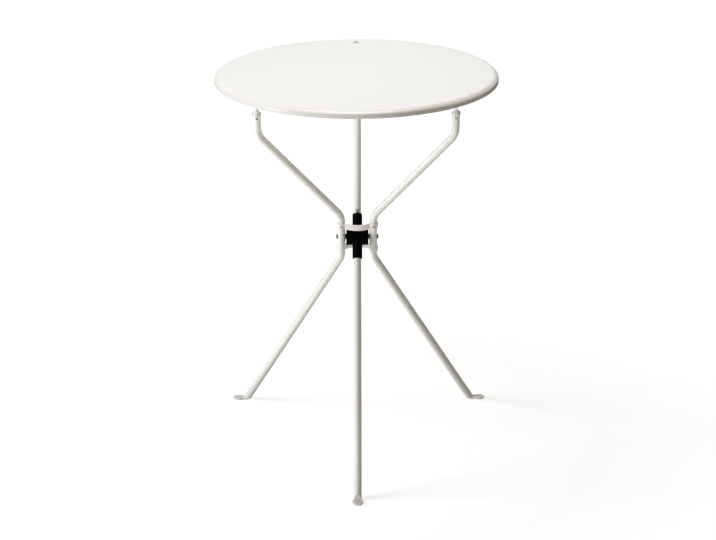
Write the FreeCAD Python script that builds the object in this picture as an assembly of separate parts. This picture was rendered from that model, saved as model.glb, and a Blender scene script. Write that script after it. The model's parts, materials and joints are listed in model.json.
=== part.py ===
import FreeCAD, Part
import math
import os
from FreeCAD import Placement, Rotation, Vector

# A folding wine table: a round steel top on two bent side legs and one straight middle leg.
# The two side legs are tied into one frame that leans forward as it rises.
# The middle leg leans back, slides through a black joint at the frame's waist and is hinged
# under the rear of the top. Lifting the rear edge of the top folds everything flat.
# Millimetres, +Z up, +Y to the rear, +X to the right. The origin is on the floor, at the middle of
# the table's footprint.

# Overall
table_height = 700.0
top_diameter = 500.0

# Top
top_sheet = 1.5
rim_depth = 12.0
shoulder_radius = 6.0
hang_hole_diameter = 15.0
hang_hole_inset = 34.0

# Linkage
pivot_height = 392.5
side_foot_setback = 145.5
hinge_drop = 46.8
side_hinge_spread = 343.4

# Leg tubes
tube_diameter = 14.0
tube_wall = 1.5
bend_radius = 38.0
waist_spread = 58.1
neck_bend_margin = 3.9
upper_bend_margin = 0.3
lower_bend_margin = 2.5
side_foot_spread = 438.8

# Flattened feet
foot_width = 19.6
foot_thickness = 4.6
foot_length = 28.0
toe_nose_length = 11.5
toe_tip_thickness = 2.4
heel_radius = 10.0
flatten_length = 1.0
sole_cut = 0.35
foot_squareness = 5.0
foot_lap = 0.5
foot_step = 0.3

# Slotted end plugs
fork_head_length = 14.0
fork_spigot_length = 16.0
fork_slot_play = 0.5
fork_flat_inset = 1.3

# Hinge lugs
lug_sheet = 3.0
lug_width = 16.0
lug_flange_length = 24.0
lug_bend_radius = 3.0
lug_play = 0.3

# Hinge pins
hinge_pin_diameter = 5.0
hinge_head_diameter = 7.6
hinge_head_height = 1.7

# Waist brackets
bracket_sheet = 1.5
bracket_height = 13.0
bracket_rise = 22.5
bracket_reach = 11.6
bracket_bow_radius = 53.0
bracket_reverse_radius = 4.0
rivet_diameter = 3.2
rivet_head_diameter = 5.6
rivet_head_height = 1.2
rivet_pit_diameter = 1.8
rivet_pit_depth = 0.6
rivet_tail_diameter = 4.6
rivet_tail_length = 2.4

# Black joint
hub_diameter = 31.0
hub_width = 40.4
hub_edge_radius = 1.5
sleeve_diameter = 18.0
sleeve_length = 84.0
sleeve_edge_radius = 1.0
sleeve_root_radius = 1.5
sleeve_bore_play = 0.4
pivot_bore_wall = 2.2

# Stub axles, washers and caps
pivot_pin_diameter = 6.0
pivot_end_play = 0.5
washer_diameter = 10.0
washer_side_play = 0.15
cap_diameter = 9.0
cap_skirt = 0.9
cap_dome = 1.5
cap_socket_depth = 1.2

# Stop rivet
stop_shank_diameter = 5.0
stop_head_diameter = 8.4
stop_head_height = 2.3
stop_gap = 0.3

# Fits
pin_fit = 0.05
saddle_fit = 0.1
cut_overrun = 5.0

# Worked-out sizes
top_radius = top_diameter / 2
tube_radius = tube_diameter / 2
tube_bore_radius = tube_radius - tube_wall
side_hinge_x = side_hinge_spread / 2
waist_x = waist_spread / 2
side_foot_x = side_foot_spread / 2
heel_height = foot_thickness / 2 - sole_cut
bracket_middle = bracket_rise + bracket_height / 2
lug_end_radius = lug_width / 2
fork_slot_depth = lug_end_radius + fork_slot_play
sleeve_bore_radius = tube_radius + sleeve_bore_play
pivot_bore_end = sleeve_bore_radius + pivot_bore_wall
stop_along = sleeve_length / 2 + stop_gap + stop_head_diameter / 2
hinge_height = table_height - hinge_drop
hinge_rise = hinge_height - pivot_height

# The frame's lean follows its feet. The rear hinge is as far from the side hinges as these are
# from the pivot, so the middle leg turns through half the angle of the top.
frame_lean = math.atan2(side_foot_setback, pivot_height - heel_height)
hinge_reach = hinge_rise / math.cos(frame_lean)
side_hinge_lead = hinge_rise * math.tan(frame_lean)
rear_hinge_lag = hinge_reach - side_hinge_lead
middle_lean = math.atan2(rear_hinge_lag, hinge_rise)
middle_reach = math.hypot(rear_hinge_lag, hinge_rise)

# The pivot is below the centre of the top. The footprint runs from the middle foot's toe to the
# rear edge of the top.
front_reach = (pivot_height - heel_height) * math.tan(middle_lean) + foot_length
center_y = (front_reach - top_radius) / 2
side_hinge_y = center_y - side_hinge_lead
rear_hinge_y = center_y + rear_hinge_lag


def bend_setback(out, up, bends):
    """How far from the start of a bend its two straight runs meet.

    The tube turns away from its line there and heads for a point that lies out and up from the
    start. With two bends, it comes back to its first direction at that point.
    """
    center_out = out - bends * bend_radius
    turn = math.atan2(center_out, up) + math.asin(bends * bend_radius / math.hypot(center_out, up))
    return bend_radius * math.tan(turn / 2)


# The waist stays straight under both brackets, and the neck stays straight round the end plug.
bracket_end = bracket_rise + bracket_height
foot_reach = math.hypot(side_foot_setback, pivot_height - heel_height)
neck_start = hinge_reach - fork_head_length - fork_spigot_length - neck_bend_margin
upper_start = bracket_end + upper_bend_margin
lower_start = bracket_end + lower_bend_margin
upper_setback = bend_setback(side_hinge_x - waist_x, neck_start - upper_start, 2)
lower_setback = bend_setback(side_foot_x - waist_x, foot_reach - lower_start, 1)

AXIS_X = Vector(1, 0, 0)
AXIS_Y = Vector(0, 1, 0)
AXIS_Z = Vector(0, 0, 1)
PIVOT = Vector(0, center_y, pivot_height)
frame_place = Placement(PIVOT, Rotation(AXIS_X, math.degrees(frame_lean)))
middle_place = Placement(PIVOT, Rotation(AXIS_X, -math.degrees(middle_lean)))


def placed(shape, place):
    """The shape carried from a leg's own frame, with Z along the leg, to the table's frame."""
    moved = shape.copy()
    moved.Placement = place.multiply(moved.Placement)
    return moved


def rod(radius, start, end):
    """A round solid between two points."""
    run = end - start
    return Part.makeCylinder(radius, run.Length, start, run)


def dome(radius, height, base, direction):
    """A round cap of the given base radius and height, standing on its base point."""
    ball_radius = (radius ** 2 + height ** 2) / (2 * height)
    center = base - direction * (ball_radius - height)
    ball = Part.makeSphere(ball_radius, center)
    return ball.common(Part.makeCylinder(radius, height, base, direction))


def bent_path(points, radii):
    """Straight runs through the points, with a tangent arc of the given radius at each corner."""
    edges = []
    start = points[0]
    for corner, after, radius in zip(points[1:-1], points[2:], radii):
        into = (corner - start).normalize()
        out = (after - corner).normalize()
        turn = into.getAngle(out)
        setback = radius * math.tan(turn / 2)
        begin = corner - into * setback
        finish = corner + out * setback
        inward = (out - into).normalize()
        middle = corner + inward * (radius / math.cos(turn / 2) - radius)
        edges.append(Part.LineSegment(start, begin).toShape())
        edges.append(Part.Arc(begin, middle, finish).toShape())
        start = finish
    edges.append(Part.LineSegment(start, points[-1]).toShape())
    return Part.Wire(edges)


def swept_round(path, radius):
    """A round bar along a path of straight runs and tangent arcs."""
    first = path.Edges[0]
    at = first.valueAt(first.FirstParameter)
    along = first.tangentAt(first.FirstParameter)
    ring = Part.Wire(Part.makeCircle(radius, at, along))
    return path.makePipeShell([ring], True, False)


def foot_section(point, along, across, half_width, half_height, squareness):
    """A closed superellipse across the foot: round when squareness is 2, flatter as it grows."""
    across = (across - along * across.dot(along)).normalize()
    upright = along.cross(across)
    count = 24
    outline = []
    for k in range(count):
        angle = 2 * math.pi * k / count
        wide = math.copysign(abs(math.cos(angle)) ** (2 / squareness), math.cos(angle))
        high = math.copysign(abs(math.sin(angle)) ** (2 / squareness), math.sin(angle))
        outline.append(point + across * (half_width * wide) + upright * (half_height * high))
    curve = Part.BSplineCurve()
    curve.interpolate(Points=outline, PeriodicFlag=True)
    return Part.Wire(curve.toShape())


def eased(share):
    """A share from 0 to 1 that starts and ends gently."""
    return share * share * (3 - 2 * share)


def flattened_foot(heel, leg_direction, toe_direction, start_across, toe_across):
    """The lower end of a leg tube, bent level, and the point where the tube meets it.

    It is pressed flat in the bend, spreads to a leaf beyond it and thins towards the tip.
    """
    turn = leg_direction.getAngle(toe_direction)
    setback = heel_radius * math.tan(turn / 2)
    start = heel - leg_direction * (setback + flatten_length)
    tip = heel + toe_direction * foot_length
    path = bent_path([start, heel, tip], [heel_radius])
    straight, arc, toe = path.Edges
    pressed = straight.Length + arc.Length
    level_run = toe.Length - toe_nose_length
    neck_radius = tube_radius - foot_step
    half_width = foot_width / 2
    half_height = foot_thickness / 2
    tip_height = toe_tip_thickness / 2
    heel_steps = 6
    leaf_steps = 3
    stations = []
    for k in range(heel_steps + 1):
        press = eased(k / heel_steps)
        high = neck_radius + (half_height - neck_radius) * press
        stations.append((pressed * k / heel_steps, neck_radius, high, press))
    for k in range(1, leaf_steps + 1):
        wide = neck_radius + (half_width - neck_radius) * eased(k / leaf_steps)
        stations.append((pressed + level_run * k / leaf_steps, wide, half_height, 1.0))
    for angle in (math.radians(a) for a in (25, 45, 60, 72, 82)):
        high = half_height + (tip_height - half_height) * math.sin(angle) ** 2
        nose = toe_nose_length * math.sin(angle)
        stations.append((pressed + level_run + nose, half_width * math.cos(angle), high, 1.0))
    sections = []
    for run, wide, high, press in stations:
        edge, rest = straight, run
        if run > straight.Length:
            edge, rest = arc, run - straight.Length
        if run > pressed:
            edge, rest = toe, run - pressed
        at = edge.getParameterByLength(min(rest, edge.Length))
        across = start_across * (1 - press) + toe_across * press
        squareness = 2 + (foot_squareness - 2) * press
        sections.append(foot_section(edge.valueAt(at), edge.tangentAt(at), across, wide, high, squareness))
    below = Part.makeBox(
        2 * foot_length + tube_diameter,
        2 * foot_length + tube_diameter,
        cut_overrun,
        heel - Vector(foot_length + tube_radius, foot_length + tube_radius, heel.z + cut_overrun),
    )
    return start + leg_direction * foot_lap, Part.makeLoft(sections, True).cut(below)


def tube_leg(points, radii, foot):
    """A hollow bent tube along the points, with its flattened foot joined on."""
    path = bent_path(points, radii)
    tube = swept_round(path, tube_radius).cut(swept_round(path, tube_bore_radius))
    return tube.fuse(foot)


def right_side_leg():
    """The right bent leg: neck, slanting shoulder, upright waist, splayed shin and level foot."""
    def at(x, along):
        return frame_place.multVec(Vector(x, 0, along))

    heel = at(side_foot_x, -foot_reach)
    waist_low = at(waist_x, -lower_start - lower_setback)
    shin = (heel - waist_low).normalize()
    frame_normal = frame_place.Rotation.multVec(AXIS_Y)
    start, foot = flattened_foot(heel, shin, AXIS_X, frame_normal, AXIS_Y)
    points = [
        at(side_hinge_x, hinge_reach - fork_head_length),
        at(side_hinge_x, neck_start - upper_setback),
        at(waist_x, upper_start + upper_setback),
        waist_low,
        start,
    ]
    leg = tube_leg(points, [bend_radius] * 3, foot)
    pivot_hole = rod(
        pivot_pin_diameter / 2 + pin_fit,
        AXIS_X * (waist_x - tube_diameter),
        AXIS_X * (waist_x + tube_diameter),
    )
    leg = leg.cut(placed(pivot_hole, frame_place))
    for facing in (-1, 1):
        seat = Vector(waist_x, 0, -facing * bracket_middle)
        rivet_hole = rod(
            rivet_diameter / 2 + pin_fit,
            seat,
            seat + AXIS_Y * (facing * tube_diameter),
        )
        leg = leg.cut(placed(rivet_hole, frame_place))
    return leg


def middle_tube_leg():
    """The straight middle leg with its level foot pointing forward."""
    down = middle_place.Rotation.multVec(-AXIS_Z)
    heel = PIVOT + down * ((pivot_height - heel_height) / math.cos(middle_lean))
    start, foot = flattened_foot(heel, down, -AXIS_Y, AXIS_X, AXIS_X)
    top = middle_place.multVec(AXIS_Z * (middle_reach - fork_head_length))
    leg = tube_leg([top, start], [], foot)
    stop_hole = rod(
        stop_shank_diameter / 2 + pin_fit,
        Vector(0, -tube_diameter, stop_along),
        Vector(0, tube_diameter, stop_along),
    )
    return leg.cut(placed(stop_hole, middle_place))


def fork():
    """A domed end plug, slotted for the lug, with its hinge hole at the origin and spigot below."""
    shoulder = AXIS_Z * -fork_head_length
    body = Part.makeSphere(tube_radius)
    body = body.fuse(rod(tube_radius, shoulder, Vector()))
    spigot_radius = tube_bore_radius - pin_fit
    body = body.fuse(rod(spigot_radius, shoulder - AXIS_Z * fork_spigot_length, shoulder))
    slot_width = lug_sheet + 2 * lug_play
    slot = Part.makeBox(
        slot_width,
        2 * tube_diameter,
        fork_slot_depth + tube_diameter,
        Vector(-slot_width / 2, -tube_diameter, -fork_slot_depth),
    )
    body = body.cut(slot)
    pin_hole = rod(hinge_pin_diameter / 2 + pin_fit, AXIS_X * -tube_diameter, AXIS_X * tube_diameter)
    body = body.cut(pin_hole)
    for side in (-1, 1):
        flat = rod(
            hinge_head_diameter / 2 + lug_play,
            AXIS_X * (side * (tube_radius - fork_flat_inset)),
            AXIS_X * (side * tube_diameter),
        )
        body = body.cut(flat)
    return body.removeSplitter()


def hinge_pin():
    """A pin across a fork with a low round head seated on each of the fork's flats."""
    seat = tube_radius - fork_flat_inset
    pin = rod(hinge_pin_diameter / 2, AXIS_X * -seat, AXIS_X * seat)
    for side in (-1, 1):
        head = dome(hinge_head_diameter / 2, hinge_head_height, AXIS_X * (side * seat), AXIS_X * side)
        pin = pin.fuse(head)
    return pin


def lug(pin_center, flange_side):
    """A bent hinge lug: an upright plate round the pin and a flange against the top's underside."""
    underside = table_height - top_sheet
    drop = underside - pin_center.z
    face_x = -lug_sheet / 2
    front_base = Vector(face_x, -lug_end_radius, drop)
    rear_base = Vector(face_x, lug_end_radius, drop)
    front_touch = Vector(face_x, -lug_end_radius, 0)
    rear_touch = Vector(face_x, lug_end_radius, 0)
    outline = Part.Wire([
        Part.LineSegment(front_base, front_touch).toShape(),
        Part.Arc(front_touch, Vector(face_x, 0, -lug_end_radius), rear_touch).toShape(),
        Part.LineSegment(rear_touch, rear_base).toShape(),
        Part.LineSegment(rear_base, front_base).toShape(),
    ])
    plate = Part.Face(outline).extrude(AXIS_X * lug_sheet)
    flange = Part.makeBox(
        lug_flange_length,
        lug_width,
        lug_sheet,
        Vector(min(0, flange_side * lug_flange_length), -lug_end_radius, drop - lug_sheet),
    )
    inner_x = flange_side * lug_sheet / 2
    scoop_x = inner_x + flange_side * lug_bend_radius
    scoop_z = drop - lug_sheet - lug_bend_radius
    fillet = Part.makeBox(
        lug_bend_radius,
        lug_width,
        lug_bend_radius,
        Vector(min(inner_x, scoop_x), -lug_end_radius, scoop_z),
    )
    scoop = Part.makeCylinder(lug_bend_radius, lug_width, Vector(scoop_x, -lug_end_radius, scoop_z), AXIS_Y)
    body = plate.fuse(flange).fuse(fillet.cut(scoop)).removeSplitter()
    hole = rod(hinge_pin_diameter / 2 + pin_fit, AXIS_X * -lug_sheet, AXIS_X * lug_sheet)
    body = body.cut(hole)
    body.translate(pin_center)
    return body


def arc_between(center, radius, start_angle, end_angle):
    """An arc in the bracket's plane; angles run from +X towards the front of the frame."""
    def at(angle):
        return Vector(center[0] + radius * math.cos(angle), -center[1] - radius * math.sin(angle), 0)

    return Part.Arc(at(start_angle), at((start_angle + end_angle) / 2), at(end_angle)).toShape()


def bracket_skin(offset):
    """One face of the strap, right end to left end: saddle, reverse bend, bow and their mirror."""
    saddle = tube_radius + saddle_fit + bracket_sheet / 2
    bow_center = (0, bracket_reach - bracket_sheet / 2 - bracket_bow_radius)
    near = saddle + bracket_reverse_radius
    far = bracket_bow_radius + bracket_reverse_radius
    span = math.hypot(waist_x, bow_center[1])
    towards_bow = math.pi + math.atan2(-bow_center[1], waist_x)
    leave = towards_bow - math.acos((near ** 2 + span ** 2 - far ** 2) / (2 * near * span))
    reverse_center = (waist_x + near * math.cos(leave), near * math.sin(leave))
    join = math.atan2(reverse_center[1] - bow_center[1], reverse_center[0])
    right = [
        arc_between((waist_x, 0), saddle + offset, 0, leave),
        arc_between(reverse_center, bracket_reverse_radius - offset, leave - math.pi, join - math.pi),
    ]
    bow = arc_between(bow_center, bracket_bow_radius + offset, join, math.pi - join)
    left = [edge.mirror(Vector(), AXIS_X) for edge in reversed(right)]
    return right + [bow] + left


def bracket():
    """A strap bowed round the joint, with a saddle on each leg tube and a rivet hole in each."""
    front = bracket_skin(bracket_sheet / 2)
    back = bracket_skin(-bracket_sheet / 2)
    inner_end = tube_radius + saddle_fit
    outer_end = inner_end + bracket_sheet
    ends = [
        Part.LineSegment(
            Vector(side * (waist_x + inner_end), 0, 0),
            Vector(side * (waist_x + outer_end), 0, 0),
        ).toShape()
        for side in (-1, 1)
    ]
    outline = Part.Wire(Part.__sortEdges__(front + back + ends))
    strap = Part.Face(outline).extrude(AXIS_Z * bracket_height)
    strap.translate(AXIS_Z * bracket_rise)
    for side in (-1, 1):
        seat = Vector(side * waist_x, 0, bracket_middle)
        strap = strap.cut(rod(rivet_diameter / 2 + pin_fit, seat, seat - AXIS_Y * tube_diameter))
    return strap


def bracket_rivet(side):
    """A blind rivet through saddle and tube wall: pitted round head outside, swollen tail inside."""
    seat = tube_radius + saddle_fit + bracket_sheet
    base = Vector(side * waist_x, -seat, bracket_middle)
    tail_radius = rivet_tail_diameter / 2
    tail_seat = math.sqrt(tube_bore_radius ** 2 - tail_radius ** 2) - pin_fit
    tail = Vector(side * waist_x, -tail_seat, bracket_middle)
    rivet = rod(rivet_diameter / 2, base, tail)
    rivet = rivet.fuse(rod(tail_radius, tail, tail + AXIS_Y * rivet_tail_length))
    rivet = rivet.fuse(dome(rivet_head_diameter / 2, rivet_head_height, base, -AXIS_Y))
    crown = base - AXIS_Y * rivet_head_height
    pit_depth = AXIS_Y * rivet_pit_depth
    return rivet.cut(rod(rivet_pit_diameter / 2, crown + pit_depth, crown - pit_depth))


def turned_over(shape):
    """The same piece on the back of the frame, turned half round about the pivot line."""
    other = shape.copy()
    other.rotate(Vector(), AXIS_X, 180)
    return other


def edge_rounded(cylinder, radius):
    """A cylinder with both rims rounded."""
    rims = [edge for edge in cylinder.Edges if edge.Closed]
    return cylinder.makeFillet(radius, rims)


def pivot_sleeve():
    """The black joint: a sleeve for the middle leg, filleted into a hub with two blind pivot bores."""
    half_sleeve = AXIS_Z * (sleeve_length / 2)
    half_hub = AXIS_X * (hub_width / 2)
    sleeve = edge_rounded(rod(sleeve_diameter / 2, -half_sleeve, half_sleeve), sleeve_edge_radius)
    hub = edge_rounded(rod(hub_diameter / 2, -half_hub, half_hub), hub_edge_radius)
    body = sleeve.fuse(hub)
    roots = []
    for edge in body.Edges:
        middle = edge.valueAt((edge.FirstParameter + edge.LastParameter) / 2)
        off_sleeve = abs(math.hypot(middle.x, middle.y) - sleeve_diameter / 2)
        off_hub = abs(math.hypot(middle.y, middle.z) - hub_diameter / 2)
        if max(off_sleeve, off_hub) < pin_fit:
            roots.append(edge)
    body = body.makeFillet(sleeve_root_radius, roots)
    overrun = AXIS_Z * cut_overrun
    body = body.cut(rod(sleeve_bore_radius, -half_sleeve - overrun, half_sleeve + overrun))
    for side in (-1, 1):
        body = body.cut(rod(
            pivot_pin_diameter / 2 + pin_fit,
            AXIS_X * (side * pivot_bore_end),
            AXIS_X * (side * (hub_width / 2 + cut_overrun)),
        ))
    return body


def pivot_pin(side):
    """A stub axle from the blind bore of the hub, through the leg tube, into its cap."""
    return rod(
        pivot_pin_diameter / 2,
        AXIS_X * (side * (pivot_bore_end + pivot_end_play)),
        AXIS_X * (side * (waist_x + tube_radius + cap_socket_depth)),
    )


def washer(side):
    """A flat washer that fills the room between hub and tube."""
    inner_face = hub_width / 2 + washer_side_play
    outer_face = waist_x - tube_radius - washer_side_play
    start = AXIS_X * (side * inner_face)
    end = AXIS_X * (side * outer_face)
    return rod(washer_diameter / 2, start, end).cut(rod(pivot_pin_diameter / 2 + pin_fit, start, end))


def pivot_cap(side):
    """A black push-on cap over the outer end of a stub axle."""
    seat = waist_x + tube_radius
    base = AXIS_X * (side * seat)
    rim = AXIS_X * (side * (seat + cap_skirt))
    cap = rod(cap_diameter / 2, base, rim).fuse(dome(cap_diameter / 2, cap_dome, rim, AXIS_X * side))
    socket = rod(
        pivot_pin_diameter / 2 + pin_fit,
        base,
        AXIS_X * (side * (seat + cap_socket_depth + pin_fit)),
    )
    return cap.cut(socket).removeSplitter()


def stop_rivet():
    """A rivet across the middle leg whose round heads rest on the end of the sleeve."""
    rivet = rod(
        stop_shank_diameter / 2,
        Vector(0, -tube_radius, stop_along),
        Vector(0, tube_radius, stop_along),
    )
    for side in (-1, 1):
        seat = Vector(0, side * tube_radius, stop_along)
        rivet = rivet.fuse(dome(stop_head_diameter / 2, stop_head_height, seat, AXIS_Y * side))
    return rivet


def table_top():
    """A round pressed sheet with a turned-down rim, a round shoulder and a hanging hole."""
    low = table_height - rim_depth
    under = table_height - top_sheet
    inner_shoulder = shoulder_radius - top_sheet
    bend_x = top_radius - shoulder_radius
    bend_z = table_height - shoulder_radius
    slant = math.sin(math.radians(45))
    outer_mid = Vector(bend_x + shoulder_radius * slant, 0, bend_z + shoulder_radius * slant)
    inner_mid = Vector(bend_x + inner_shoulder * slant, 0, bend_z + inner_shoulder * slant)
    points = [
        Vector(0, 0, under),
        Vector(0, 0, table_height),
        Vector(bend_x, 0, table_height),
        Vector(top_radius, 0, bend_z),
        Vector(top_radius, 0, low),
        Vector(top_radius - top_sheet, 0, low),
        Vector(top_radius - top_sheet, 0, bend_z),
        Vector(bend_x, 0, under),
    ]
    arcs = {2: outer_mid, 6: inner_mid}
    edges = []
    for k, start in enumerate(points):
        end = points[(k + 1) % len(points)]
        curve = Part.Arc(start, arcs[k], end) if k in arcs else Part.LineSegment(start, end)
        edges.append(curve.toShape())
    sheet = Part.Face(Part.Wire(edges)).revolve(Vector(), AXIS_Z, 360)
    hole_center = Vector(0, top_radius - hang_hole_inset, under)
    hole = Part.makeCylinder(hang_hole_diameter / 2, 2 * top_sheet, hole_center - AXIS_Z * (top_sheet / 2))
    top = sheet.cut(hole)
    top.translate(AXIS_Y * center_y)
    return top


rear_hinge = Vector(0, rear_hinge_y, hinge_height)
right_leg = right_side_leg()
rivets = Part.makeCompound([bracket_rivet(-1), bracket_rivet(1)])

pieces = {
    "table_top": table_top(),
    "rear_lug": lug(rear_hinge, 1),
    "middle_leg": middle_tube_leg(),
    "middle_fork": placed(fork(), Placement(rear_hinge, middle_place.Rotation)),
    "rear_hinge_pin": placed(hinge_pin(), Placement(rear_hinge, Rotation())),
    "stop_rivet": placed(stop_rivet(), middle_place),
    "pivot_sleeve": placed(pivot_sleeve(), middle_place),
    "front_bracket": placed(bracket(), frame_place),
    "rear_bracket": placed(turned_over(bracket()), frame_place),
    "front_rivets": placed(rivets, frame_place),
    "rear_rivets": placed(turned_over(rivets), frame_place),
    "left_leg": right_leg.mirror(Vector(), AXIS_X),
    "right_leg": right_leg,
}
for name, side in (("left", -1), ("right", 1)):
    hinge = Vector(side * side_hinge_x, side_hinge_y, hinge_height)
    pieces[name + "_lug"] = lug(hinge, -side)
    pieces[name + "_fork"] = placed(fork(), Placement(hinge, frame_place.Rotation))
    pieces[name + "_hinge_pin"] = placed(hinge_pin(), Placement(hinge, Rotation()))
    pieces[name + "_pivot_pin"] = placed(pivot_pin(side), frame_place)
    pieces[name + "_washer"] = placed(washer(side), frame_place)
    pieces[name + "_cap"] = placed(pivot_cap(side), frame_place)

os.makedirs("parts", exist_ok=True)
for name, shape in pieces.items():
    shape.exportStep(os.path.join("parts", name + ".step"))
    print(name, "solids", len(shape.Solids), "valid", shape.isValid(), "volume", round(shape.Volume, 1))
print("frame lean", round(math.degrees(frame_lean), 3), "middle lean", round(math.degrees(middle_lean), 3))
print("pivot", PIVOT, "side hinges y", round(side_hinge_y, 3), "rear hinge y", round(rear_hinge_y, 3))
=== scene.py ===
import json
import math

import bmesh
import bpy
import numpy as np
from mathutils import Matrix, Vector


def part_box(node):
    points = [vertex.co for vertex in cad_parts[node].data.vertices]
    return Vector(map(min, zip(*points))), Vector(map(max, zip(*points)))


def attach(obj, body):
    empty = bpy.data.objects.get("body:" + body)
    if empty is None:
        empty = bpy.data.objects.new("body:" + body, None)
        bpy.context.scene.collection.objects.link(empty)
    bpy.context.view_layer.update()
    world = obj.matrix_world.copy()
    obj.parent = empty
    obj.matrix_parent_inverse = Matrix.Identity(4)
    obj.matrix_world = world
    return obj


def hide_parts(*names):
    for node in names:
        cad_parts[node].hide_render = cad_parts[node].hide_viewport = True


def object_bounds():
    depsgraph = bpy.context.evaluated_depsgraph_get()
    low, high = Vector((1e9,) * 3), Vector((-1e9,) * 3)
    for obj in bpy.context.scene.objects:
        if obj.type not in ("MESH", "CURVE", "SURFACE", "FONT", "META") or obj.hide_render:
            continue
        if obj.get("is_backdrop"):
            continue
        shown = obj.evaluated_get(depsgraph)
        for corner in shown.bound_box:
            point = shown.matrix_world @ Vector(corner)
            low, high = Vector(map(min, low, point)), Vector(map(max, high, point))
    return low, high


# A folding wine table: a round steel top on two bent side legs and one straight middle leg that
# slides through a black joint at the waist. Metres, +Z up, +Y to the rear, +X to the right.
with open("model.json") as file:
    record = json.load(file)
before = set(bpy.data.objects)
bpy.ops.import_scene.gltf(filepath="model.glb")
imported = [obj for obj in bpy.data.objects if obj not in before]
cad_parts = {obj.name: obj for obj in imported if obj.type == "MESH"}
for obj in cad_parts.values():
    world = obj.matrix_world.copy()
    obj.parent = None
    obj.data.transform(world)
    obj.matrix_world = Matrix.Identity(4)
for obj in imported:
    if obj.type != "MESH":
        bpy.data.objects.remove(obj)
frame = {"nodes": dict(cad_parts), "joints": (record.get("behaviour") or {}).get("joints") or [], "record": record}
cad_low, cad_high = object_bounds()


# Side legs: two bent 14 mm steel tubes, white powder coated. Each lower end is pressed flat and
# bent level as a round-ended foot. The straps at the waist tie both into one leaning frame.
tube_radius = 0.007
bend_radius = 0.038
neck_straight = 0.0339
waist_straight_up = 0.0358
waist_straight_down = 0.038
fork_head_length = 0.014
heel_radius = 0.010
heel_height = 0.00195
flatten_length = 0.001
foot_thickness = 0.0042
foot_length = 0.028
nose_length = 0.0115
tip_share = 0.57
tube_end_round = 0.0004
leg_step = 0.003
foot_step = 0.00035
blunt_tip = 0.00002
tube_points = 96
round_points = 5
least_bend_points = 8

joint_place = {joint["name"]: np.array(joint["pos_m"]) for joint in frame["joints"]}
pivot = joint_place["sleeve_pivot"]
side_hinge = joint_place["top_hinge"]
rear_hinge = joint_place["middle_leg_hinge"]
axis_x, axis_y, axis_z = np.eye(3)
waist_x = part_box("right_leg")[0].x + tube_radius
hinge_x = sum(corner.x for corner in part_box("right_hinge_pin")) / 2
heel_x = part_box("right_leg")[1].x - foot_length


def unit(vectors):
    """Vectors divided by their own length."""
    return vectors / np.linalg.norm(vectors, axis=-1, keepdims=True)


def bent_line(corners, radii, step):
    """Straight runs through the corners with a tangent arc at each, as points and headings.

    On a run the point is start + t * into. On an arc it is begin + R * (sin t * into +
    (1 - cos t) * inward), where inward is square to into on the side of the next run.
    """
    points, headings = [], []

    def run(start, end):
        length = np.linalg.norm(end - start)
        t = np.linspace(0, 1, max(2, round(length / step)))[:-1, None]
        points.append(start + t * (end - start))
        headings.append(np.repeat(unit(end - start)[None], len(t), 0))

    start = corners[0]
    for corner, after, radius in zip(corners[1:-1], corners[2:], radii):
        into, out = unit(corner - start), unit(after - corner)
        turn = math.acos(into @ out)
        begin = corner - into * radius * math.tan(turn / 2)
        inward = unit(out - into * math.cos(turn))
        run(start, begin)
        t = np.linspace(0, turn, max(least_bend_points, round(radius * turn / step)))[:, None]
        points.append((begin + radius * (np.sin(t) * into + (1 - np.cos(t)) * inward))[:-1])
        headings.append((np.cos(t) * into + np.sin(t) * inward)[:-1])
        start = corner + out * radius * math.tan(turn / 2)
    run(start, corners[-1])
    points.append(corners[-1][None])
    headings.append(headings[-1][-1:])
    return np.concatenate(points), np.concatenate(headings)


def bend_setback(out, up, bends):
    """How far from the start of a bend of radius R its two straight runs meet: R * tan(turn / 2).

    The tube heads for a point that lies out and up from the start. With two bends it comes back
    there to its first direction, so turn = atan2(c, up) + asin(n * R / hypot(c, up)), c = out - n * R.
    """
    center_out = out - bends * bend_radius
    turn = math.atan2(center_out, up) + math.asin(bends * bend_radius / math.hypot(center_out, up))
    return bend_radius * math.tan(turn / 2)


def carried(points, headings, across, outline):
    """An outline carried along a line: ring k is p_k + u * across_k + v * upright_k, with across
    squared to the heading and upright square to both."""
    across = unit(across - headings * (headings * across).sum(-1, keepdims=True))
    upright = np.cross(headings, across)
    return points[:, None] + outline[..., :1] * across[:, None] + outline[..., 1:] * upright[:, None]


def pressed_tube(half_height):
    """A round tube pressed to a stadium of the same girth: two flats of width pi * (R - h) joined
    by half circles of radius h. Points keep their place along the girth, slid on the flats and
    turned on the half circles."""
    girth = 2 * math.pi * tube_radius * np.arange(tube_points) / tube_points
    h = half_height[:, None]
    flat = math.pi * (tube_radius - h)
    quarter = math.pi * h / 2
    turned = np.clip(girth, 0, quarter)
    turned = turned + np.clip(girth - quarter - flat, 0, 2 * quarter)
    turned = turned + np.clip(girth - 3 * quarter - 2 * flat, 0, quarter)
    slid = np.clip(girth - quarter, 0, flat) - np.clip(girth - 3 * quarter - flat, 0, flat)
    return np.stack([flat / 2 - slid + h * np.cos(turned / h), h * np.sin(turned / h)], -1)


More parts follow.
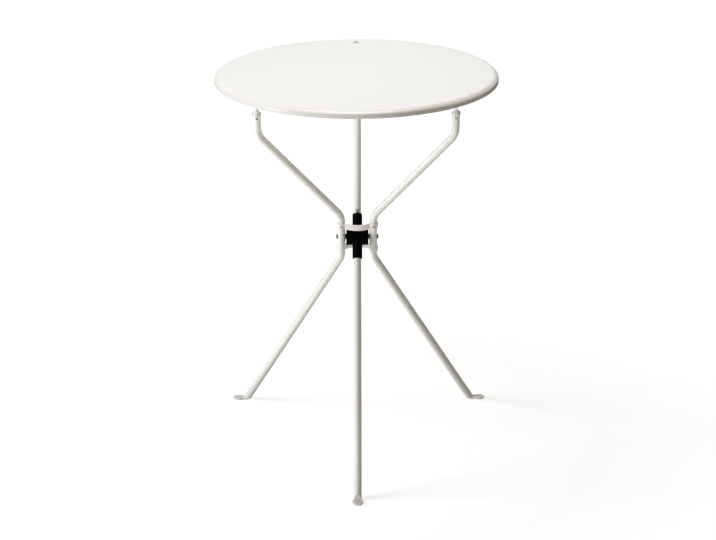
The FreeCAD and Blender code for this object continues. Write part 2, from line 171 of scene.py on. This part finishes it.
def footed_leg(corners, radii, toe, tube_across, toe_across):
    """A tube through the corners that ends in a pressed, level foot beyond the last corner, the heel.

    The half height falls evenly from R to half the foot's thickness in the bend, so the flats open
    as a V. Beyond it the width grows from 2 R to the pressed width by 3 u^2 - 2 u^3, and the toe
    narrows as half an ellipse in plan, thins with the square of the way and ends in a half round.
    """
    heel = corners[-1]
    shin = unit(heel - corners[-2])
    turn = math.acos(shin @ toe)
    start = heel - shin * (heel_radius * math.tan(turn / 2) + flatten_length)
    tube, tube_heading = bent_line(corners[:-1] + [start], radii, leg_step)
    lead = np.linspace(0, math.pi / 2, round_points)[:-1]
    tube = np.concatenate([tube[0] + tube_end_round * (1 - np.cos(lead[:, None])) * tube_heading[0],
                           tube[0] + tube_end_round * tube_heading[:1], tube[1:-1]])
    tube_heading = np.concatenate([np.repeat(tube_heading[:1], len(lead), 0), tube_heading[:-1]])
    foot, foot_heading = bent_line([start, heel, heel + toe * foot_length], [heel_radius], foot_step)
    points = np.concatenate([tube, foot])
    headings = np.concatenate([tube_heading, foot_heading])

    walked = np.r_[0, np.cumsum(np.linalg.norm(np.diff(foot, axis=0), axis=1))]
    pressed = flatten_length + heel_radius * turn
    press = np.r_[np.zeros(len(tube)), np.clip(walked / pressed, 0, 1)]
    half_height = tube_radius + (foot_thickness / 2 - tube_radius) * press
    outline = pressed_tube(half_height)
    outline[:len(lead)] *= (1 - tube_end_round * (1 - np.sin(lead)) / tube_radius)[:, None, None]

    rest = np.maximum(walked[-1] - walked, blunt_tip)
    spread = np.clip((walked - pressed) / (walked[-1] - pressed - nose_length), 0, 1)
    nose = np.clip(1 - rest / nose_length, 0, 1)
    half_width = outline[len(tube):, :, 0].max(1)
    opened = tube_radius + (half_width[-1] - tube_radius) * spread ** 2 * (3 - 2 * spread)
    narrowed = opened / half_width * np.sqrt(1 - nose ** 2)
    blunted = np.sqrt(1 - np.clip(1 - 2 * rest / foot_thickness, 0, 1) ** 2)
    thinned = blunted * (1 - (1 - tip_share) * nose ** 2)
    outline[len(tube):] *= np.stack([narrowed, thinned], -1)[:, None]
    across = tube_across + (toe_across - tube_across) * press[:, None]
    rings = carried(points, headings, across, outline)
    rings[..., 2] = np.maximum(rings[..., 2], 0)
    return rings


def skin(name, *stacks, looped=False, crease=0.6):
    """A closed mesh over stacks of rings: quads between neighbouring rings, and a fan to the middle
    of each end ring unless the stack closes in a loop. Edges sharper than the crease stay crisp."""
    points, faces, base = [], [], 0
    for rings in stacks:
        count, around = rings.shape[:2]
        index = base + np.arange(count * around).reshape(count, around)
        lower = index if looped else index[:-1]
        upper = np.roll(index, -1, 0) if looped else index[1:]
        quads = np.stack([lower, np.roll(lower, -1, 1), np.roll(upper, -1, 1), upper], -1)
        faces += quads.reshape(-1, 4).tolist()
        points.append(rings.reshape(-1, 3))
        base += count * around
        if not looped:
            points.append(rings[[0, -1]].mean(1))
            for ring, hub in ((index[0][::-1], base), (index[-1], base + 1)):
                faces += np.stack([ring, np.roll(ring, -1), np.full(around, hub)], -1).tolist()
            base += 2
    mesh = bpy.data.meshes.new(name)
    mesh.from_pydata(np.concatenate(points).tolist(), [], faces)
    shell = bmesh.new()
    shell.from_mesh(mesh)
    bmesh.ops.recalc_face_normals(shell, faces=shell.faces)
    shell.to_mesh(mesh)
    shell.free()
    mesh.shade_smooth()
    mesh.set_sharp_from_angle(angle=crease)
    piece = bpy.data.objects.new(name, mesh)
    bpy.context.scene.collection.objects.link(piece)
    return piece


def linear(hex_color):
    """sRGB hex to linear light: c / 12.92 up to 0.04045, else ((c + 0.055) / 1.055) to the 2.4."""
    srgb = np.array([int(hex_color[k:k + 2], 16) for k in (1, 3, 5)]) / 255
    light = np.where(srgb <= 0.04045, srgb / 12.92, ((srgb + 0.055) / 1.055) ** 2.4)
    return (*light.tolist(), 1.0)


def node(tree, kind, inputs=None, **settings):
    """One shader node: settings are its own options, inputs are values or the sockets that feed it."""
    made = tree.nodes.new(kind)
    for option, value in settings.items():
        setattr(made, option, value)
    for socket, value in (inputs or {}).items():
        if isinstance(value, bpy.types.NodeSocket):
            tree.links.new(value, made.inputs[socket])
        else:
            made.inputs[socket].default_value = value
    return made


# Powder coat: polyester powder baked on steel. It levels to a satin film with a fine orange peel,
# and the film's thickness drifts slowly, which shows as a faint change of tone and gloss.
peel_size = 0.0016
peel_height = 0.000008
drift_size = 0.045
paint = bpy.data.materials.new("white_powder_coat")
paint.use_nodes = True
tree = paint.node_tree
shader = tree.nodes["Principled BSDF"]
spot = node(tree, "ShaderNodeTexCoord").outputs["Object"]
peel = node(tree, "ShaderNodeTexNoise", {"Vector": spot, "Scale": 1 / peel_size, "Detail": 1.5})
drift = node(tree, "ShaderNodeTexNoise", {"Vector": spot, "Scale": 1 / drift_size, "Detail": 3.0})
tone = node(tree, "ShaderNodeValToRGB", {"Fac": drift.outputs["Fac"]})
tone.color_ramp.elements[0].color = linear("#ECEBE9")
tone.color_ramp.elements[1].color = linear("#F0EFEE")
gloss = node(tree, "ShaderNodeMapRange", {"Value": drift.outputs["Fac"], "From Min": 0.3, "From Max": 0.7,
                                          "To Min": 0.33, "To Max": 0.37})
ripple = node(tree, "ShaderNodeBump", {"Height": peel.outputs["Fac"], "Distance": peel_height})
tree.links.new(tone.outputs["Color"], shader.inputs["Base Color"])
tree.links.new(gloss.outputs["Result"], shader.inputs["Roughness"])
tree.links.new(ripple.outputs["Normal"], shader.inputs["Normal"])
shader.inputs["IOR"].default_value = 1.5


def fit(piece, material, body, slot, *nodes):
    """Gives a piece its finish and the body it moves with, and hides the nodes it stands for. The slot is not
    used.
    """
    piece.data.materials.append(material)
    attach(piece, body)
    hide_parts(*nodes)


frame_up = unit(side_hinge - pivot)
frame_front = np.cross(axis_x, frame_up)
hinge_reach = np.linalg.norm(side_hinge - pivot)
foot_reach = (pivot[2] - heel_height) / frame_up[2]
neck_start = hinge_reach - neck_straight
upper_setback = bend_setback(hinge_x - waist_x, neck_start - waist_straight_up, 2)
lower_setback = bend_setback(heel_x - waist_x, foot_reach - waist_straight_down, 1)
run = [
    (hinge_x, hinge_reach - fork_head_length),
    (hinge_x, neck_start - upper_setback),
    (waist_x, waist_straight_up + upper_setback),
    (waist_x, -waist_straight_down - lower_setback),
    (heel_x, -foot_reach),
]
for name, side in (("left", -1), ("right", 1)):
    corners = [pivot + side * x * axis_x + along * frame_up for x, along in run]
    rings = footed_leg(corners, [bend_radius] * 3, side * axis_x, frame_front, -axis_y)
    fit(skin(name + "_bent_leg", rings), paint, "side_frame", "leg_paint", name + "_leg")


# Waist straps: two identical bent strips of 1.5 mm steel, powder coated white. Each has a saddle
# riveted to both tubes and a bow between them that stands clear of the black joint.
strap_sheet = 0.0015
strap_height = 0.013
strap_rise = 0.0225
strap_reach = 0.0116
strap_edge = 0.0003
saddle_fit = 0.0001
bow_radius = 0.053
reverse_radius = 0.004
corner_points = 6
saddle_points = 28
reverse_points = 10
bow_points = 16
strap_middle = strap_rise + strap_height / 2
saddle_radius = tube_radius + saddle_fit + strap_sheet / 2


def strip_outline(half_width, half_thickness, edge):
    """A rectangle with rounded corners: a quarter circle of radius e about (w - e, t - e) and its
    like in the other quadrants, with a short straight before and after each."""
    turn = np.linspace(0, math.pi / 2, corner_points)
    corner = np.concatenate([[[1, -0.5]], np.stack([np.cos(turn), np.sin(turn)], -1), [[-0.5, 1]]])
    quarters = np.stack([corner, corner @ [[0, 1], [-1, 0]], -corner, corner @ [[0, -1], [1, 0]]])
    signs = np.array([[1, 1], [-1, 1], [-1, -1], [1, -1]])
    half_width, half_thickness, edge = np.broadcast_arrays(
        *(np.atleast_1d(size)[:, None, None] for size in (half_width, half_thickness, edge)))
    u = signs[:, :1] * (half_width - edge) + edge * quarters[..., 0]
    v = signs[:, 1:] * (half_thickness - edge) + edge * quarters[..., 1]
    return np.stack([u, v], -1).reshape(len(half_width), -1, 2)


def arc(center, radius, start, end, count):
    """Points at center + R * (cos a, sin a) for angles from start to end."""
    a = np.linspace(start, end, count)[:, None]
    return np.array(center) + radius * np.concatenate([np.cos(a), np.sin(a)], 1)


def strap_line():
    """The strap's middle line from right to left, as x and the distance out from the frame: saddle
    arc, reverse bend, half the bow, and their mirror."""
    bow = (0.0, strap_reach - strap_sheet / 2 - bow_radius)
    near, far = saddle_radius + reverse_radius, bow_radius + reverse_radius
    span = math.hypot(waist_x, bow[1])
    swing = math.acos((near ** 2 + span ** 2 - far ** 2) / (2 * near * span))
    leave = math.pi + math.atan2(-bow[1], waist_x) - swing
    bend = (waist_x + near * math.cos(leave), near * math.sin(leave))
    join = math.atan2(bend[1] - bow[1], bend[0])
    right = np.concatenate([
        arc((waist_x, 0), saddle_radius, 0, leave, saddle_points)[:-1],
        arc(bend, reverse_radius, leave - math.pi, join - math.pi, reverse_points)[:-1],
        arc(bow, bow_radius, join, math.pi / 2, bow_points),
    ])
    return np.concatenate([right, right[-2::-1] * (-1, 1)])


def end_rounded(points, headings, radius):
    """Adds rings at both ends of a line, and says how far each ring draws in: r * (1 - sin a) at
    r * (1 - cos a) from the end."""
    a = np.linspace(0, math.pi / 2, round_points)[:-1]
    back = (radius * (1 - np.cos(a)))[:, None]
    drawn_in = radius * (1 - np.sin(a))
    inset = np.concatenate([drawn_in, np.zeros(len(points)), drawn_in[::-1]])
    first = points[0] + back * headings[0]
    last = points[-1] - back[::-1] * headings[-1]
    points = np.concatenate([first, points[:1] + radius * headings[:1], points[1:-1],
                             points[-1:] - radius * headings[-1:], last])
    headings = np.concatenate([np.repeat(headings[:1], len(a), 0), headings,
                               np.repeat(headings[-1:], len(a), 0)])
    return points, headings, inset


line = strap_line()
for name, facing in (("front", 1), ("rear", -1)):
    points = pivot + line[:, :1] * axis_x + facing * (line[:, 1:] * frame_front + strap_middle * frame_up)
    headings = unit(np.gradient(points, axis=0))
    points, headings, inset = end_rounded(points, headings, strap_edge)
    outline = strip_outline(strap_height / 2 - inset, strap_sheet / 2 - inset, strap_edge)
    rings = carried(points, headings, np.repeat(frame_up[None], len(points), 0), outline)
    fit(skin(name + "_waist_strap", rings), paint, "side_frame", "leg_paint", name + "_bracket")


# Blind rivets: zinc-plated steel, pulled up from outside through saddle and tube wall. The broken
# mandrel leaves a small pit with a stub in the middle of each domed head.
rivet_radius = 0.0016
rivet_head_radius = 0.0028
rivet_head_height = 0.0012
rivet_pit_radius = 0.0009
rivet_pit_depth = 0.0006
rivet_stub_radius = 0.0006
rivet_tail_radius = 0.0023
rivet_tail_start = 0.005
rivet_tail_length = 0.0024
head_fullness = 2.4
head_eye = 0.0002
head_points = 14
rivet_points = 32
turned_points = 48


def turned(profile, origin, axis, around=turned_points):
    """A turned shape: a profile point (d, r) swings round the axis at origin + d * axis +
    r * (cos a * e1 + sin a * e2)."""
    side = unit(np.cross(axis, axis_y if abs(axis[1]) < 0.9 else axis_z))
    other = np.cross(axis, side)
    a = 2 * math.pi * np.arange(around)[:, None] / around
    circle = np.cos(a) * side + np.sin(a) * other
    profile = np.asarray(profile)
    return origin + profile[:, None, :1] * axis + profile[:, None, 1:] * circle


def head(radius, height, seat, inner=head_eye):
    """A domed head from its middle out to its seat: r = R * sin(t) ** (2 / n) and
    d = seat + h * cos(t) ** (2 / n), a quarter of a superellipse of fullness n."""
    t = np.linspace(math.asin((inner / radius) ** (head_fullness / 2)), math.pi / 2, head_points)
    power = 2 / head_fullness
    high = seat + height * np.clip(np.cos(t), 0, 1) ** power
    return np.stack([high, radius * np.sin(t) ** power], -1)


# Zinc plating on drawn steel: a light grey metal whose fine, cloudy grain breaks up the gloss.
steel_grain = 0.0012
steel = bpy.data.materials.new("zinc_plated_steel")
steel.use_nodes = True
tree = steel.node_tree
shader = tree.nodes["Principled BSDF"]
spot = node(tree, "ShaderNodeTexCoord").outputs["Object"]
grain = node(tree, "ShaderNodeTexNoise", {"Vector": spot, "Scale": 1 / steel_grain, "Detail": 3.0})
tone = node(tree, "ShaderNodeValToRGB", {"Fac": grain.outputs["Fac"]})
tone.color_ramp.elements[0].color = linear("#9C9A94")
tone.color_ramp.elements[1].color = linear("#C2C0BB")
gloss = node(tree, "ShaderNodeMapRange", {"Value": grain.outputs["Fac"], "To Min": 0.28, "To Max": 0.46})
tree.links.new(tone.outputs["Color"], shader.inputs["Base Color"])
tree.links.new(gloss.outputs["Result"], shader.inputs["Roughness"])
shader.inputs["Metallic"].default_value = 1.0

seat = saddle_radius + strap_sheet / 2
crown = seat + rivet_head_height
pit_edge = head(rivet_head_radius, rivet_head_height, seat, rivet_pit_radius)
rivet_profile = np.concatenate([
    [(crown - rivet_pit_depth / 2, rivet_stub_radius / 2), (crown - rivet_pit_depth / 2, rivet_stub_radius),
     (crown - rivet_pit_depth, rivet_stub_radius), (crown - rivet_pit_depth, rivet_pit_radius)],
    pit_edge,
    [(seat, rivet_radius), (rivet_tail_start, rivet_radius), (rivet_tail_start, rivet_tail_radius),
     (rivet_tail_start - rivet_tail_length, rivet_tail_radius)],
])
for name, facing in (("front", 1), ("rear", -1)):
    seats = [pivot + x * axis_x + facing * strap_middle * frame_up for x in (-waist_x, waist_x)]
    stacks = [turned(rivet_profile, seat_point, facing * frame_front, rivet_points) for seat_point in seats]
    fit(skin(name + "_blind_rivets", *stacks), steel, "side_frame", "rivet_steel", name + "_rivets")


# Black joint: a cross-shaped moulding of black nylon. The middle leg slides in its sleeve and its
# hub turns on two steel stub axles, with a nylon washer inside and a push-on cap outside each tube.
nylon_grain = 0.0007
nylon_relief = 0.00002
washer_radius = 0.005
washer_bore = 0.00305
washer_edge = 0.0002
cap_radius = 0.0045
cap_skirt = 0.0009
cap_dome = 0.0015

# Moulded nylon: deep black from its pigment, and kept matt by the fine eroded grain of the mould.
nylon = bpy.data.materials.new("black_moulded_nylon")
nylon.use_nodes = True
tree = nylon.node_tree
shader = tree.nodes["Principled BSDF"]
spot = node(tree, "ShaderNodeTexCoord").outputs["Object"]
grain = node(tree, "ShaderNodeTexNoise", {"Vector": spot, "Scale": 1 / nylon_grain, "Detail": 2.0})
tone = node(tree, "ShaderNodeValToRGB", {"Fac": grain.outputs["Fac"]})
tone.color_ramp.elements[0].color = linear("#020203")
tone.color_ramp.elements[1].color = linear("#040405")
gloss = node(tree, "ShaderNodeMapRange", {"Value": grain.outputs["Fac"], "To Min": 0.42, "To Max": 0.58})
ripple = node(tree, "ShaderNodeBump", {"Height": grain.outputs["Fac"], "Distance": nylon_relief})
tree.links.new(tone.outputs["Color"], shader.inputs["Base Color"])
tree.links.new(gloss.outputs["Result"], shader.inputs["Roughness"])
tree.links.new(ripple.outputs["Normal"], shader.inputs["Normal"])
shader.inputs["IOR"].default_value = 1.53
shader.inputs["Specular IOR Level"].default_value = 0.02


def coat_node(name, material):
    """Puts a finish on a CAD node that is shown as it is."""
    mesh = frame["nodes"][name].data
    mesh.materials.clear()
    mesh.materials.append(material)


coat_node("pivot_sleeve", nylon)
for name, side in (("left", -1), ("right", 1)):
    coat_node(name + "_pivot_pin", steel)
    low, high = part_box(name + "_washer")
    inner, outer = sorted((abs(low.x), abs(high.x)))
    ring = np.array([
        (inner, washer_bore), (inner, washer_radius - washer_edge), (inner + washer_edge, washer_radius),
        (outer - washer_edge, washer_radius), (outer, washer_radius - washer_edge), (outer, washer_bore),
    ])
    rings = turned(ring, pivot, side * axis_x)
    fit(skin(name + "_nylon_washer", rings, looped=True), nylon, "side_frame", "joint_plastic",
        name + "_washer")
    cap_seat = waist_x + tube_radius
    profile = np.concatenate([head(cap_radius, cap_dome, cap_seat + cap_skirt), [(cap_seat, cap_radius)]])
    rings = turned(profile, pivot, side * axis_x)
    fit(skin(name + "_push_cap", rings), nylon, "side_frame", "joint_plastic", name + "_cap")


# Middle leg: a straight tube like the others, hinged under the rear of the top, with its foot
# pointing forward. A round-headed rivet across it rests on the sleeve when the table stands.
stop_radius = 0.0025
stop_head_radius = 0.0042
stop_head_height = 0.0023
middle_up = unit(rear_hinge - pivot)
middle_front = np.cross(axis_x, middle_up)
middle_reach = np.linalg.norm(rear_hinge - pivot)
low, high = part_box("stop_rivet")
stop_place = (np.array(low) + np.array(high)) / 2
corners = [pivot + (middle_reach - fork_head_length) * middle_up,
           pivot - (pivot[2] - heel_height) / middle_up[2] * middle_up]
rings = footed_leg(corners, [], -axis_y, axis_x, axis_x)
fit(skin("straight_middle_leg", rings), paint, "middle_leg", "leg_paint", "middle_leg")
half = head(stop_head_radius, stop_head_height, tube_radius)
shank = [(tube_radius, stop_radius), (-tube_radius, stop_radius)]
profile = np.concatenate([half, shank, half[::-1] * (-1, 1)])
fit(skin("stop_rivet_round_head", turned(profile, stop_place, middle_front)), steel,
    "middle_leg", "rivet_steel", "stop_rivet")


# Hinges: slotted, domed end plugs pressed into the tubes, bent steel lugs spot welded under the
# top, and a pin with a low round head at each end through both. Plugs and lugs are coated white.
lug_sheet = 0.003
lug_width = 0.016
lug_flange = 0.024
lug_bend = 0.003
lug_edge = 0.0004
lug_step = 0.0005
pin_radius = 0.0025
pin_head_radius = 0.0038
pin_head_height = 0.0017
fork_flat_inset = 0.0013
top_sheet = 0.0015
pin_seat = tube_radius - fork_flat_inset


def hinge_lug(pin, flange_side):
    """A strip bent square: level under the top, then down past the pin. Its half width is even
    down to the pin, and sqrt(r * r - z * z) about the pin below it."""
    end_radius = lug_width / 2
    level = cad_high.z - top_sheet - pin[2] - lug_sheet / 2
    line = np.array([(flange_side * lug_flange, 0, level), (0, 0, level), (0, 0, -end_radius)])
    points, headings = bent_line(line, [lug_bend + lug_sheet / 2], lug_step)
    points, headings, inset = end_rounded(points, headings, lug_edge)
    z = np.minimum(points[:, 2], 0)
    half_width = np.maximum(np.sqrt(np.maximum(end_radius ** 2 - z ** 2, 0)) - inset, lug_edge)
    outline = strip_outline(half_width, lug_sheet / 2 - inset, lug_edge)
    return pin + carried(points, headings, np.repeat(axis_y[None], len(points), 0), outline)


half = head(pin_head_radius, pin_head_height, pin_seat)
shank = [(pin_seat, pin_radius), (-pin_seat, pin_radius)]
pin_profile = np.concatenate([half, shank, half[::-1] * (-1, 1)])
hinges = (
    ("left", side_hinge - hinge_x * axis_x, 1, "side_frame"),
    ("right", side_hinge + hinge_x * axis_x, -1, "side_frame"),
    ("rear", rear_hinge, 1, "middle_leg"),
)
for name, pin, flange_side, body in hinges:
    coat_node(("middle" if name == "rear" else name) + "_fork", paint)
    fit(skin(name + "_bent_lug", hinge_lug(pin, flange_side)), paint, "top", "top_paint", name + "_lug")
    fit(skin(name + "_round_head_pin", turned(pin_profile, pin, axis_x)), steel, body, "rivet_steel",
        name + "_hinge_pin")


# Table top: a round steel sheet pressed with a soft shoulder and a turned-down rim, white powder
# coated like the legs. A punched hole near the rear edge hangs the folded table on a hook.
ease_radius = 0.014
ease_angle = math.radians(40)
turn_radius = 0.006
rim_edge = 0.0005
hole_edge = 0.0003
flat_rings = 14
ease_rings = 8
turn_rings = 10
edge_rings = 10
rim_points = 720
hole = next(mount for mount in frame["record"]["mounts"] if mount["name"] == "hanging_hole")
hole_place = np.array(hole["pos_m"])
hole_size = hole["dims"]["r_mm"] / 1000


def pressed_top():
    """The disc as a loop of rings: hole wall, upper face, shoulder, rim and lower face.

    The shoulder is a wide arc up to the ease angle and a tight arc from there to upright.
    On the faces, rings run from the hole to the rim as images of circles |z| = s under
    w = (z + a) / (1 + a * z), which carries the hole's circle and the rim to true circles.
    """
    low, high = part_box("table_top")
    center = (np.array(low) + np.array(high)) / 2
    radius = (high.x - low.x) / 2
    top, under = high.z, high.z - top_sheet
    bend = radius - ease_radius * math.sin(ease_angle) - turn_radius * (1 - math.sin(ease_angle))
    offset = hole_place[1] - center[1]
    near = math.atanh((offset - hole_size - hole_edge) / bend)
    far = math.atanh((offset + hole_size + hole_edge) / bend)
    a, inner = math.tanh((near + far) / 2), math.tanh((far - near) / 2)
    w = np.exp(2j * math.pi * np.arange(rim_points) / rim_points)
    z = (w - a) / (1 - a * w)

    def ring(flat, height):
        return np.stack([center[0] + flat.imag, center[1] + flat.real, np.full(rim_points, height)], -1)

    def circles(middle, around, radii, heights):
        return [ring(middle + around * size, height) for size, height in zip(radii, heights)]

    def face(height):
        spread = inner ** np.linspace(0, 1, flat_rings)
        return [ring(bend * (s * z + a) / (1 + a * s * z), height) for s in spread]

    def shoulder(depth):
        wide = np.linspace(0, ease_angle, ease_rings)
        tight = np.linspace(ease_angle, math.pi / 2, turn_rings)[1:]
        step = ease_radius - turn_radius
        out, up = bend + step * math.sin(ease_angle), top - ease_radius + step * math.cos(ease_angle)
        wide_size, tight_size = ease_radius - depth, turn_radius - depth
        return (circles(0, w, bend + wide_size * np.sin(wide), top - ease_radius + wide_size * np.cos(wide))
                + circles(0, w, out + tight_size * np.sin(tight), up + tight_size * np.cos(tight)))

    around_hole = bend * (inner * z + a) / (1 + a * inner * z) - offset
    around_hole = around_hole / np.abs(around_hole)
    quarter = np.linspace(0, math.pi / 2, edge_rings)
    less_sine, less_cosine = 1 - np.sin(quarter), 1 - np.cos(quarter)
    rings = face(top)[::-1][:-1] + shoulder(0)
    rings += circles(0, w, radius - rim_edge * less_cosine, low.z + rim_edge * less_sine)
    rings += circles(0, w, radius - top_sheet + rim_edge * less_sine, low.z + rim_edge * less_cosine)
    rings += shoulder(top_sheet)[::-1] + face(under)[1:]
    rings += circles(offset, around_hole, hole_size + hole_edge * less_sine[1:],
                     under + hole_edge * less_cosine[1:])
    rings += circles(offset, around_hole, hole_size + hole_edge * less_cosine[:-1],
                     top - hole_edge * less_sine[:-1])
    return np.stack(rings)


fit(skin("round_pressed_top", pressed_top(), looped=True), paint, "top", "top_paint", "table_top")


# Stage: a wide pale floor. The camera sees it near white with the shadows of the side light, and
# what it sends back to the table is a glow, strong in front, to the left and behind.
# Its nine fields glow evenly, front row first and left to right, and fade over 0.2 m between them.
shadow_reach = 0.45
shadow_fade = 0.75
shadow_white = 0.8
field_lines = np.array((0.3, 0.5, 1.5, 1.7, 10.0))
field_glow = np.array(((0.2, 2.2, 0.5),
                       (2.2, 0.5, 0.4),
                       (0.65, 1.4, 1.6)))
floor_lines = np.concatenate([-field_lines[::-1], field_lines])
floor_bands = np.arange(len(floor_lines)) // 2
floor_glow = np.pad(field_glow, 1)
floor_mesh = bpy.data.meshes.new("floor")
floor_y, floor_x = np.meshgrid(floor_lines, floor_lines, indexing="ij")
corner = np.arange(floor_x.size).reshape(floor_x.shape)
floor_faces = np.stack([corner[:-1, :-1], corner[:-1, 1:], corner[1:, 1:], corner[1:, :-1]], -1)
floor_mesh.from_pydata(np.stack([floor_x, floor_y, floor_x * 0], -1).reshape(-1, 3).tolist(), [],
                       floor_faces.reshape(-1, 4).tolist())
glow_field = floor_mesh.attributes.new("glow", "FLOAT", "POINT")
glow_field.data.foreach_set("value", floor_glow[floor_bands[:, None], floor_bands].ravel())
floor = bpy.data.objects.new("floor", floor_mesh)
bpy.context.scene.collection.objects.link(floor)
floor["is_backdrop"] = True
chalk = bpy.data.materials.new("pale_floor")
chalk.use_nodes = True
tree = chalk.node_tree
tree.nodes.remove(tree.nodes["Principled BSDF"])
seen = node(tree, "ShaderNodeLightPath").outputs["Is Camera Ray"]
spot = node(tree, "ShaderNodeTexCoord").outputs["Object"]
away = node(tree, "ShaderNodeVectorMath", {0: spot}, operation="LENGTH")
level = node(tree, "ShaderNodeAttribute", attribute_name="glow").outputs["Fac"]
glow = node(tree, "ShaderNodeEmission", {"Color": linear("#FFFDF4"), "Strength": level})
clear = node(tree, "ShaderNodeMapRange", {
    "Value": away.outputs["Value"], "From Min": shadow_reach, "From Max": shadow_reach + shadow_fade,
    "To Min": shadow_white, "To Max": 1.0})
white = node(tree, "ShaderNodeEmission", {"Color": linear("#FFFFFF"), "Strength": clear.outputs["Result"]})
shade = node(tree, "ShaderNodeBsdfDiffuse", {"Color": linear("#909090")})
seen_floor = node(tree, "ShaderNodeAddShader", {0: white.outputs[0], 1: shade.outputs[0]})
mixed = node(tree, "ShaderNodeMixShader", {0: seen, 1: glow.outputs[0], 2: seen_floor.outputs[0]})
tree.links.new(mixed.outputs[0], tree.nodes["Material Output"].inputs["Surface"])
floor_mesh.materials.append(chalk)


# Light: a tall softbox to the left and a little in front, one straight above and a weak one behind.
# They light the table and not the floor, which has a low softbox of its own to the left, for the
# short shadows by the feet. The room is dim and warm, white to the camera and pale in reflections.
room_strength = 0.09
reflected_white = 0.2
steep = 0.99


def softbox(name, place, target, width, height, power, color):
    """A rectangular area light that faces its target."""
    light = bpy.data.lights.new(name, "AREA")
    light.shape = "RECTANGLE"
    light.size, light.size_y = width, height
    light.energy = power
    light.color = linear(color)[:3]
    lamp = bpy.data.objects.new(name, light)
    back = unit(np.array(place) - np.array(target))
    side = unit(np.cross(axis_z if abs(back[2]) < steep else axis_y, back))
    turn = np.eye(4)
    turn[:3, :3] = np.stack([side, np.cross(back, side), back], 1)
    turn[:3, 3] = place
    lamp.matrix_world = Matrix(turn.tolist())
    bpy.context.scene.collection.objects.link(lamp)
    return lamp


def reach(lamp, link_state):
    """Lets a light reach the floor alone (INCLUDE), or all but the floor (EXCLUDE)."""
    group = bpy.data.collections.new(lamp.name + "_reach")
    group.objects.link(floor)
    lamp.light_linking.receiver_collection = group
    group.collection_objects[0].light_linking.link_state = link_state


left_lamp = softbox("left_softbox", place=(-2.75, -1.2, 1.0), target=(0, 0, 0.5),
                    width=0.6, height=1.6, power=65, color="#F9FCFF")
overhead_lamp = softbox("overhead_softbox", place=(0, 0.1, 2.4), target=(0, 0, 0.7),
                        width=0.9, height=0.9, power=27, color="#FFFDF8")
rear_lamp = softbox("rear_softbox", place=(0, 3.0, 2.0), target=(0, 0, 0.4),
                    width=2.4, height=1.2, power=14, color="#D8E8FF")
floor_lamp = softbox("floor_softbox", place=(-3.0, 0, 1.4), target=(0, 0, 0),
                     width=1.5, height=0.4, power=180, color="#FFFFFF")
for lamp in (left_lamp, overhead_lamp, rear_lamp):
    reach(lamp, "EXCLUDE")
reach(floor_lamp, "INCLUDE")

world = bpy.data.worlds.new("studio")
bpy.context.scene.world = world
world.use_nodes = True
tree = world.node_tree
path = node(tree, "ShaderNodeLightPath").outputs
mirrored = node(tree, "ShaderNodeMath", {0: path["Is Glossy Ray"], 1: reflected_white}, operation="MULTIPLY")
seen = node(tree, "ShaderNodeMath", {0: path["Is Camera Ray"], 1: mirrored.outputs[0]}, operation="MAXIMUM")
room = tree.nodes["Background"]
room.inputs["Color"].default_value = linear("#FFD890")
room.inputs["Strength"].default_value = room_strength
bright = node(tree, "ShaderNodeBackground", {"Color": linear("#FFFFFF"), "Strength": 1.0})
mixed = node(tree, "ShaderNodeMixShader", {0: seen.outputs[0], 1: room.outputs[0], 2: bright.outputs[0]})
tree.links.new(mixed.outputs[0], tree.nodes["World Output"].inputs["Surface"])


# Camera: about 3.5 m away at standing height, a little to the right of the middle. It looks down
# on the table through a long lens, with its place, turn and lens matched to the photograph.
sensor_width = 36.0
lens_length = 92.63
camera_place = (0.01865, -3.1267, 1.54583)
yaw = math.radians(0.3234)
pitch = math.radians(21.149)
roll = math.radians(-0.288)
camera_data = bpy.data.cameras.new("camera")
camera_data.sensor_width = sensor_width
camera_data.lens = lens_length
camera = bpy.data.objects.new("camera", camera_data)
camera.matrix_world = (Matrix.Translation(camera_place) @ Matrix.Rotation(yaw, 4, "Z")
                       @ Matrix.Rotation(math.pi / 2 - pitch, 4, "X") @ Matrix.Rotation(roll, 4, "Z"))
bpy.context.scene.collection.objects.link(camera)
bpy.context.scene.camera = camera
bpy.context.scene.view_settings.view_transform = "Standard"

low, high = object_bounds()
